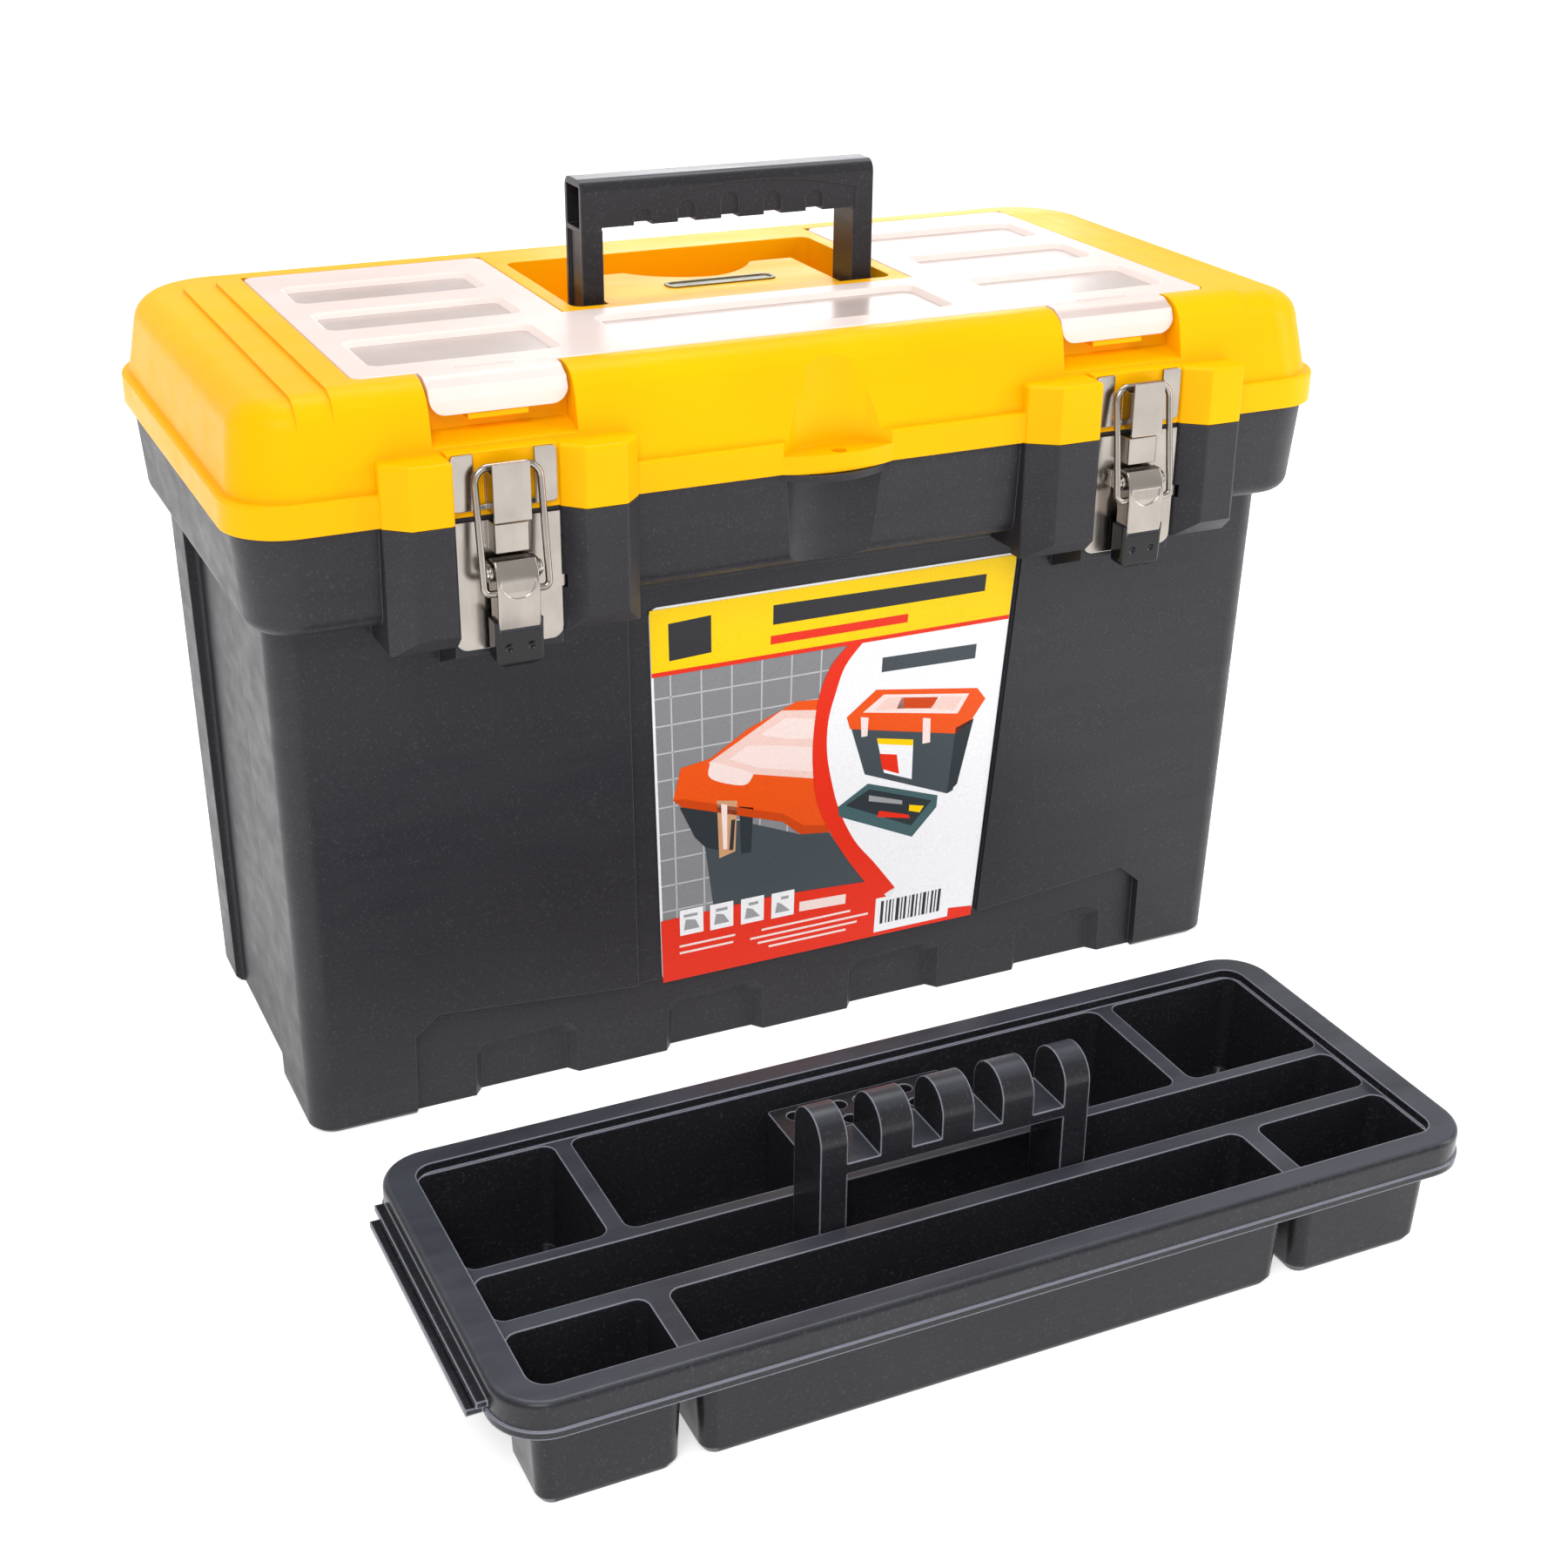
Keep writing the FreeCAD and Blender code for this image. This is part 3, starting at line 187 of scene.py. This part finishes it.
def frosted_cover():
    """Polypropylene cover: a milky frosted frame with its sides painted lighter than its tops, and clearer
    windows where the sheet is thinner, painted darker as the shade of the bins under them.
    """
    n = Nodes("frosted_cover")
    low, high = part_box("organizer_cover")
    edge_mask, round_normal = n.edges(0.6 * MM)
    sunk = n.spread(n.axes()["Z"], high.z - 1.2 * MM, high.z - 2.2 * MM)
    flat = n.tops(low.z)
    window = n.math("MULTIPLY", sunk, flat)
    cloud = n.noise(24.0, 3.0)
    # Painted light and shade: the frame's sides are lighter than its tops, and the windows are darker.
    tone = n.mix(window, n.mix(flat, FROST_SIDE_LIT, FROST_TOP_SHADED), PANE_PAINTED_SHADE)
    tone = n.mix(n.spread(cloud, 0.35, 0.7, 0.0, 0.25), tone, (0.9, 0.84, 0.82, 1))
    # Painted highlight: the cover's edges are lightened towards white.
    tone = n.mix(n.math("MULTIPLY", edge_mask, 0.7), tone, (0.98, 0.97, 0.97, 1))
    n.put(n.shader.inputs["Transmission Weight"], n.spread(window, 0.0, 1.0, 0.1, 0.3))
    rough = n.spread(window, 0.0, 1.0, 0.38, 0.24)
    normal = n.bump(n.noise(1500.0, 2.0), 0.05 * MM, 0.5, below=round_normal)
    return n.finish(tone, rough, normal, IOR=1.49)


def plated_steel(name, color, roughness, bright=(0.96, 0.95, 0.93)):
    """Nickel-plated sheet steel: rolling lines, small pits, edges painted lighter as a highlight."""
    n = Nodes(name)
    edge_mask, round_normal = n.edges(0.5 * MM)
    rolled = n.noise(900.0, 3.0, stretch=(1.0, 1.0, 0.08))
    cloud = n.noise(70.0, 4.0)
    dull = tuple(c * 0.86 for c in color)
    tone = n.mix(n.spread(cloud, 0.3, 0.7), (*color, 1), (*dull, 1))
    # Painted highlight: the edges are lightened.
    tone = n.mix(n.math("MULTIPLY", edge_mask, 0.8), tone, (*bright, 1))
    rough = n.math("ADD", n.spread(rolled, 0.3, 0.7, roughness - 0.03, roughness + 0.03),
                   n.spread(cloud, 0.4, 0.8, 0.0, 0.05))
    normal = n.bump(rolled, 0.01 * MM, 0.2, below=round_normal)
    return n.finish(tone, rough, normal, Metallic=1.0)


def printed_film(name, color):
    """Coated sticker print: faint dots of the print, a smooth coat that waves a little."""
    n = Nodes(name)
    shade = tuple(c * 0.84 for c in color)
    dots = n.noise(1400.0, 1.0)
    wave = n.noise(26.0, 2.0)
    tone = n.mix(n.spread(dots, 0.4, 0.7, 0.0, 0.6), (*color, 1), (*shade, 1))
    normal = n.bump(wave, 0.4 * MM, 0.35)
    rough = n.spread(wave, 0.3, 0.7, 0.27, 0.36)
    return n.finish(tone, rough, normal, Specular_IOR_Level=0.18)


def studio_floor():
    n = Nodes("studio_floor")
    cloud = n.noise(3.0, 2.0)
    tone = n.mix(n.spread(cloud, 0.3, 0.7), (0.92, 0.92, 0.92, 1), (0.9, 0.9, 0.905, 1))
    normal = n.bump(n.noise(300.0), 0.05 * MM, 0.2)
    n.shader.inputs["Emission Color"].default_value = (1, 1, 1, 1)
    return n.finish(tone, 0.8, normal, Emission_Strength=FLOOR_GLOW, Specular_IOR_Level=0.1)


# The frosted frame as lit and shaded copies: the sides painted lighter than the tops.
FROST_TOP_SHADED = (0.77, 0.635, 0.585, 1)
FROST_SIDE_LIT = (0.88, 0.73, 0.67, 1)
# The windows' colour, painted darker as shade of the bins seen through them.
PANE_PAINTED_SHADE = (0.60, 0.475, 0.435, 1)
FLOOR_GLOW = 0.55
# Above these heights the handle's tops and the tray's rim and divider tops get a painted highlight.
GRIP_TOP = 365 * MM           # the carry handle's top faces lie above this
DIVIDER_TOP = 49 * MM         # the tray's rim and the tops of its dividers lie above this

# The lighter edge colour of each plastic is partly scuffing and partly painted highlight. The same colour
# marks the dust specks.
LID = moulded_plastic(
    "lid_yellow", color=(0.97, 0.47, 0.0005), shade=(0.94, 0.425, 0.0004), dust_wear_and_highlight=(1.0, 0.62, 0.008),
    roughness=0.34, grain=0.03 * MM, Specular_IOR_Level=0.07)
BASE = moulded_plastic(
    "base_black", color=(0.021, 0.0195, 0.024), shade=(0.017, 0.0155, 0.02), dust_wear_and_highlight=(0.13, 0.13, 0.145),
    roughness=0.42, grain=0.14 * MM, edge_wear_and_highlight=0.5, speck=0.3, Specular_IOR_Level=0.3)
# The handle's tops carry a painted bluish highlight.
HANDLE = moulded_plastic(
    "handle_black", color=(0.016, 0.0145, 0.018), shade=(0.013, 0.012, 0.015), dust_wear_and_highlight=(0.15, 0.15, 0.175),
    roughness=0.32, grain=0.08 * MM, edge_wear_and_highlight=0.6, speck=0.25,
    painted_top_highlight=(GRIP_TOP, (0.07, 0.073, 0.088)), Specular_IOR_Level=0.32)
TIP = moulded_plastic(
    "tip_black", color=(0.005, 0.005, 0.006), shade=(0.004, 0.004, 0.005), dust_wear_and_highlight=(0.1, 0.11, 0.14),
    roughness=0.12, grain=0.02 * MM, Specular_IOR_Level=0.25, Coat_Weight=0.15, Coat_Roughness=0.06)
# The tray's tops carry a painted bluish highlight. Its edges are lightened partly by scuffing and partly as
# painted highlight.
TRAY = moulded_plastic(
    "tray_black", color=(0.017, 0.017, 0.02), shade=(0.013, 0.013, 0.016), dust_wear_and_highlight=(0.48, 0.5, 0.6),
    roughness=0.26, grain=0.07 * MM, edge=1.1 * MM, edge_wear_and_highlight=0.85, speck=0.08,
    painted_top_highlight=(DIVIDER_TOP, (0.055, 0.059, 0.073)), Specular_IOR_Level=0.26)
COVER = frosted_cover()
# The steel parts' edges are painted lighter as a highlight.
LATCH = plated_steel("latch_steel", (0.37, 0.335, 0.30), 0.2)
PIN = plated_steel("pin_steel", (0.66, 0.65, 0.63), 0.24)
BADGE = plated_steel("badge_metal", (0.11, 0.105, 0.075), 0.34, bright=(0.85, 0.62, 0.16))
PAPER = printed_film("label_print", (0.86, 0.86, 0.87))

BY_SLOT = {"lid_yellow": LID, "base_black": BASE, "handle_black": HANDLE, "clear_cover": COVER,
           "latch_steel": LATCH, "tip_black": TIP, "pin_steel": PIN, "label_print": PAPER,
           "badge_metal": BADGE, "tray_black": TRAY}


# ---------------------------------------------------------------- CAD nodes

SHARP = math.radians(28)
WELD = 0.002 * MM


def smooth_by_angle():
    """A node group that joins the faces of a CAD mesh and keeps only its real corners sharp."""
    group = bpy.data.node_groups.new("smooth_by_angle", "GeometryNodeTree")
    group.interface.new_socket("Geometry", in_out="INPUT", socket_type="NodeSocketGeometry")
    group.interface.new_socket("Geometry", in_out="OUTPUT", socket_type="NodeSocketGeometry")

    def add(kind, **settings):
        node = group.nodes.new(kind)
        for key, value in settings.items():
            setattr(node, key, value)
        return node

    start, end = add("NodeGroupInput"), add("NodeGroupOutput")
    weld = add("GeometryNodeMergeByDistance")
    weld.inputs["Distance"].default_value = WELD
    faces = add("GeometryNodeSetShadeSmooth", domain="FACE")
    edges = add("GeometryNodeSetShadeSmooth", domain="EDGE")
    angle = add("GeometryNodeInputMeshEdgeAngle")
    shallow = add("FunctionNodeCompare", data_type="FLOAT", operation="LESS_THAN")
    shallow.inputs["B"].default_value = SHARP
    link = group.links.new
    link(start.outputs[0], weld.inputs["Geometry"])
    link(weld.outputs["Geometry"], faces.inputs["Geometry"])
    link(faces.outputs["Geometry"], edges.inputs["Geometry"])
    link(angle.outputs["Unsigned Angle"], shallow.inputs["A"])
    link(shallow.outputs["Result"], edges.inputs["Shade Smooth"])
    link(edges.outputs["Geometry"], end.inputs[0])
    return group


def dress_cad_nodes():
    """Each CAD node gets the material of its slot, smooth curves and crisp corners."""
    group = smooth_by_angle()
    for part in frame["record"]["subparts"]:
        node = frame["nodes"][part["node"]]
        mesh = node.data
        mesh.materials.clear()
        mesh.materials.append(BY_SLOT[part["material_slot"]])
        normals = mesh.attributes.get("custom_normal")
        if normals:
            mesh.attributes.remove(normals)
        node.modifiers.new("smooth", "NODES").node_group = group
        even = node.modifiers.new("even normals", "WEIGHTED_NORMAL")
        even.keep_sharp = True


# ---------------------------------------------------------------- the sticker's picture

LABEL_W, LABEL_H = 170.0, 182.0
LABEL_LEAN = 7.0 / 238.0      # how far the base's front wall leans out per millimetre of height
LABEL_FLARE = (6.0, 11.5)     # how far the left and right sides lean out from foot to head
LAYER = 0.03                  # how far each layer of print stands out from the one under it
PRINT_BARS = ((16.5, 9, 38), (13, 9, 37), (16, 52, 100), (12.5, 46, 110), (9.5, 50, 104),
              (6.5, 56, 98))                    # height, from x, to x
STROKE_WIDTHS = (1.6, 0.7, 1.1, 0.6, 1.9, 0.8, 1.3, 0.6, 1.5, 0.9, 0.7, 1.8, 0.6, 1.2, 0.8, 1.6)

INKS = {
    "white": (0.87, 0.87, 0.89), "yellow": (0.95, 0.61, 0.0), "red": (0.78, 0.03, 0.01),
    "ink": (0.03, 0.03, 0.035), "tile": (0.24, 0.24, 0.25), "joint": (0.5, 0.5, 0.52),
    "orange": (0.82, 0.09, 0.008), "deep orange": (0.6, 0.06, 0.006), "pink": (0.86, 0.6, 0.54),
    "pale pink": (0.9, 0.72, 0.68), "slate": (0.06, 0.075, 0.085), "dark slate": (0.03, 0.037, 0.043),
    "copper": (0.62, 0.33, 0.17), "teal": (0.06, 0.12, 0.13), "grey": (0.33, 0.33, 0.34)}


def bent(points, steps=5):
    """A smooth line through the points (Catmull-Rom)."""
    ends = [points[0], *points, points[-1]]
    line = []
    for a, b, c, d in zip(ends, ends[1:], ends[2:], ends[3:]):
        for k in range(steps):
            t = k / steps
            line.append(tuple(0.5 * (2 * q + (r - p) * t + (2 * p - 5 * q + 4 * r - s) * t ** 2
                                     + (3 * q - p - 3 * r + s) * t ** 3)
                              for p, q, r, s in zip(a, b, c, d)))
    return [*line, points[-1]]


def block(x0, z0, x1, z1):
    return [(x0, z0), (x1, z0), (x1, z1), (x0, z1)]


def wall_patches():
    """A tiled wall."""
    yield 1, "tile", block(1, 5, 112, 151)
    for x in range(8, 92, 14):
        yield 2, "joint", block(x, 30, x + 0.7, 151)
    for z in range(36, 150, 13):
        yield 2, "joint", block(1, z, 92, z + 0.7)


def corner_patches():
    """A close view of a box's corner."""
    yield 3, "slate", [(11, 87), (18, 71), (23, 65), (27, 33), (112, 28), (96, 45), (86, 60), (71, 62)]
    yield 4, "dark slate", [(11, 87), (30, 84), (30, 62), (23, 65), (18, 71)]
    yield 4, "dark slate", [(40, 82), (47, 80), (46, 58), (41, 58)]
    yield 4, "orange", [(8, 91), (12, 106), (26, 108), (44, 119), (67, 128), (80, 127), (78, 96),
                        (81, 77), (86, 60), (71, 62), (62, 70), (12, 87)]
    yield 5, "deep orange", [(8, 91), (12, 87), (62, 70), (71, 62), (86, 60), (85, 64), (73, 66),
                             (62, 74), (12, 91)]
    yield 5, "pink", [(25, 106), (45, 97), (80, 88), (78, 122), (60, 125)]
    yield 6, "pale pink", [(35, 106), (50, 99), (78, 92), (78, 104), (60, 108), (44, 111)]
    yield 6, "pale pink", [(50, 115), (62, 111), (78, 108), (78, 118), (62, 121)]
    yield 6, "pale pink", bent([(26, 106), (25, 100), (30, 96), (42, 92), (46, 95), (45, 98), (28, 106)], 3)
    yield 5, "copper", [(29, 87), (39, 85), (38, 60), (30, 58)]
    yield 6, "pale pink", [(31, 85), (34, 84), (34, 62), (32, 62)]
    yield 6, "dark slate", [(36, 76), (38, 76), (37, 61), (35, 61)]


def band_patches():
    """The foot band, the swoosh, the white side and the head band."""
    swoosh_out = bent([(91, 151), (83, 142), (78, 129), (76, 113), (76, 96), (79, 77), (86, 61),
                       (96, 45), (108, 29)])
    swoosh_in = bent([(98, 151), (90, 141), (86, 129), (83, 116), (83, 101), (86, 86), (91, 70),
                      (100, 53), (111, 40), (124, 24)])
    yield 7, "red", [(0, 0), (170, 0), (170, 5), (128, 9), (112, 30), (60, 33), (0, 32)]
    yield 7, "white", [*swoosh_in, (116, 11), (170, 5), (170, 151)]
    yield 8, "red", [*swoosh_out, (115, 20), *reversed(swoosh_in)]
    yield 8, "yellow", block(0, 152, 170, 181)
    yield 9, "red", block(0, 150.6, 170, 152.6)


def title_patches():
    """Plain bars in place of a title."""
    yield 9, "ink", [(8, 157), (27, 158), (27, 175), (8, 174)]
    yield 9, "ink", [(55, 166), (156, 166), (156, 174), (55, 175)]
    yield 9, "red", [(54, 157), (119, 157), (119, 161), (54, 161)]


def whole_box_patches():
    """A small view of a whole box with its tray."""
    yield 9, "slate", [(94, 112), (157, 103), (151, 69), (148, 68), (103, 86)]
    yield 10, "dark slate", [(149, 101), (158, 104), (153, 72), (148, 68)]
    yield 10, "orange", [(106, 127), (158, 119), (163, 113), (156, 102), (149, 98), (94, 110), (92, 116)]
    yield 11, "pale pink", [(110, 124), (154, 117), (149, 108), (100, 117)]
    yield 12, "pink", [(106, 117), (121, 115), (120, 121), (112, 122)]
    yield 12, "pink", [(134, 113), (147, 110), (151, 116), (140, 118)]
    yield 12, "deep orange", [(119, 121), (138, 118), (135, 113), (117, 116)]
    yield 11, "pale pink", [(99, 115), (103, 114), (103, 105), (100, 105)]
    yield 11, "pale pink", [(131, 109), (135, 108), (136, 96), (132, 96)]
    yield 10, "white", [(108, 103), (127, 99), (128, 79), (113, 85)]
    yield 11, "yellow", [(108, 103), (127, 99), (127, 96), (109, 100)]
    yield 11, "red", [(110, 95), (119, 93), (121, 83), (112, 87)]
    yield 9, "teal", [(90, 72), (105, 81), (143, 68), (143, 62), (131, 49), (91, 67)]
    yield 10, "dark slate", [(94, 72), (106, 78), (140, 66), (130, 55)]
    yield 11, "grey", [(106, 75), (124, 69), (124, 67), (106, 72)]
    yield 11, "red", [(112, 66), (128, 61), (129, 59), (111, 63)]
    yield 11, "yellow", [(128, 66), (136, 64), (134, 61), (128, 63)]


def mark_patches():
    """Plain marks: squares with small shapes, bars in place of lines of print, and strokes."""
    for k, left in enumerate((9.5, 25.0, 41.0, 57.0)):
        foot = 22.5 - 0.4 * k
        yield 9, "white", block(left, foot, left + 12, foot + 13)
        yield 10, "grey", [(left + 2, foot + 2.5), (left + 10, foot + 2.5), (left + 8 - k, foot + 7),
                           (left + 3, foot + 8)]
        yield 10, "grey", block(left + 2 + k, foot + 9, left + 9, foot + 10.5)
    yield 8, "pale pink", [(72, 22), (97, 21), (97, 26), (72, 27)]
    for z, x0, x1 in PRINT_BARS:
        yield 8, "pale pink", block(x0, z, x1, z + 1.1)
    yield 9, "white", block(114, 2, 156, 20)
    edge = 117.0
    for k, width in enumerate(STROKE_WIDTHS):
        yield 10, "ink", block(edge, 6, edge + width, 18)
        edge += width + (0.9 if k % 3 else 1.4)
    yield 9, "slate", [(108, 135), (155, 134), (155, 141), (108, 142)]


def label_patches():
    """(layer, ink, outline) of every patch, in millimetres from the label's lower left."""
    yield from wall_patches()
    yield from corner_patches()
    yield from band_patches()
    yield from title_patches()
    yield from whole_box_patches()
    yield from mark_patches()


def label_picture():
    """The printed picture as thin patches that lie on the sticker."""
    low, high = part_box("label_sticker")
    mesh = bpy.data.meshes.new("label_picture")
    shape = bmesh.new()
    names = list(INKS)
    for layer, ink, outline in label_patches():
        corners = []
        for x, z in outline:
            in_left, in_right = (flare * (1 - z / LABEL_H) * MM for flare in LABEL_FLARE)
            width = high.x - low.x - in_left - in_right
            across = low.x + in_left + width * x / LABEL_W
            back = (LABEL_H - z) * LABEL_LEAN - LAYER * (layer + 1)
            corners.append(shape.verts.new((across, low.y + back * MM, low.z + z * MM)))
        face = shape.faces.new(corners)
        face.normal_update()
        if face.normal.y > 0:
            face.normal_flip()
        face.material_index = names.index(ink)
    shape.to_mesh(mesh)
    shape.free()
    for name in names:
        mesh.materials.append(printed_film("print " + name, INKS[name]))
    picture = bpy.data.objects.new("label_picture", mesh)
    bpy.context.scene.collection.objects.link(picture)
    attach(picture, "base")


# ---------------------------------------------------------------- studio

FLOOR_HALF = 6.0
WORLD_LIGHT = 0.72
MIDDLE = (0, -0.1, 0.2)
LID_TOP = (0.1, 0.0, 0.33)
LIGHTS = (("key", (1.0, 1.0), 24, (-0.9, -1.6, 1.9), MIDDLE),      # name, size, watts, place, aim
          ("top", (1.2, 0.8), 16, (0.2, 0.5, 2.0), MIDDLE),
          ("side", (0.35, 1.4), 12, (1.7, -1.0, 0.8), MIDDLE),
          ("rear", (0.6, 0.45), 3, (0.75, 1.45, 0.75), LID_TOP))
EYE = (-0.40075, -0.92551, 0.5614)
AZIMUTH, ELEVATION, ROLL = (math.radians(angle) for angle in (-25.25, 25.28, 0.59))
FOCAL_LENGTH = 52.82
SENSOR = 36.0


def area_light(name, size, power, place, aim):
    data = bpy.data.lights.new(name, "AREA")
    data.shape = "RECTANGLE"
    data.size, data.size_y = size
    data.energy = power
    light = bpy.data.objects.new(name, data)
    light.location = place
    light.rotation_euler = (Vector(aim) - Vector(place)).to_track_quat("-Z", "Y").to_euler()
    bpy.context.scene.collection.objects.link(light)


def studio():
    """A pale floor, an even white world and the area lights."""
    mesh = bpy.data.meshes.new("floor")
    plane = bmesh.new()
    bmesh.ops.create_grid(plane, x_segments=2, y_segments=2, size=FLOOR_HALF)
    plane.to_mesh(mesh)
    plane.free()
    mesh.materials.append(studio_floor())
    floor = bpy.data.objects.new("floor", mesh)
    bpy.context.scene.collection.objects.link(floor)

    world = bpy.data.worlds.new("studio")
    world.use_nodes = True
    background = world.node_tree.nodes["Background"]
    background.inputs["Color"].default_value = (1, 1, 1, 1)
    background.inputs["Strength"].default_value = WORLD_LIGHT
    bpy.context.scene.world = world

    for light in LIGHTS:
        area_light(*light)
    bpy.context.scene.view_settings.view_transform = "Standard"


def camera():
    """The camera, aimed by its azimuth, elevation and roll."""
    back = Vector((math.sin(AZIMUTH) * math.cos(ELEVATION), -math.cos(AZIMUTH) * math.cos(ELEVATION),
                   math.sin(ELEVATION)))
    level = (-back).cross(Vector((0, 0, 1))).normalized()
    rise = back.cross(level)
    right = level * math.cos(ROLL) + rise * math.sin(ROLL)
    up = rise * math.cos(ROLL) - level * math.sin(ROLL)
    turn = Matrix((right, up, back)).transposed().to_4x4()
    data = bpy.data.cameras.new("camera")
    data.sensor_width = SENSOR
    data.lens = FOCAL_LENGTH
    data.clip_end = 20
    eye = bpy.data.objects.new("camera", data)
    eye.matrix_world = Matrix.Translation(EYE) @ turn
    bpy.context.scene.collection.objects.link(eye)
    bpy.context.scene.camera = eye


dress_cad_nodes()
label_picture()
studio()
camera()
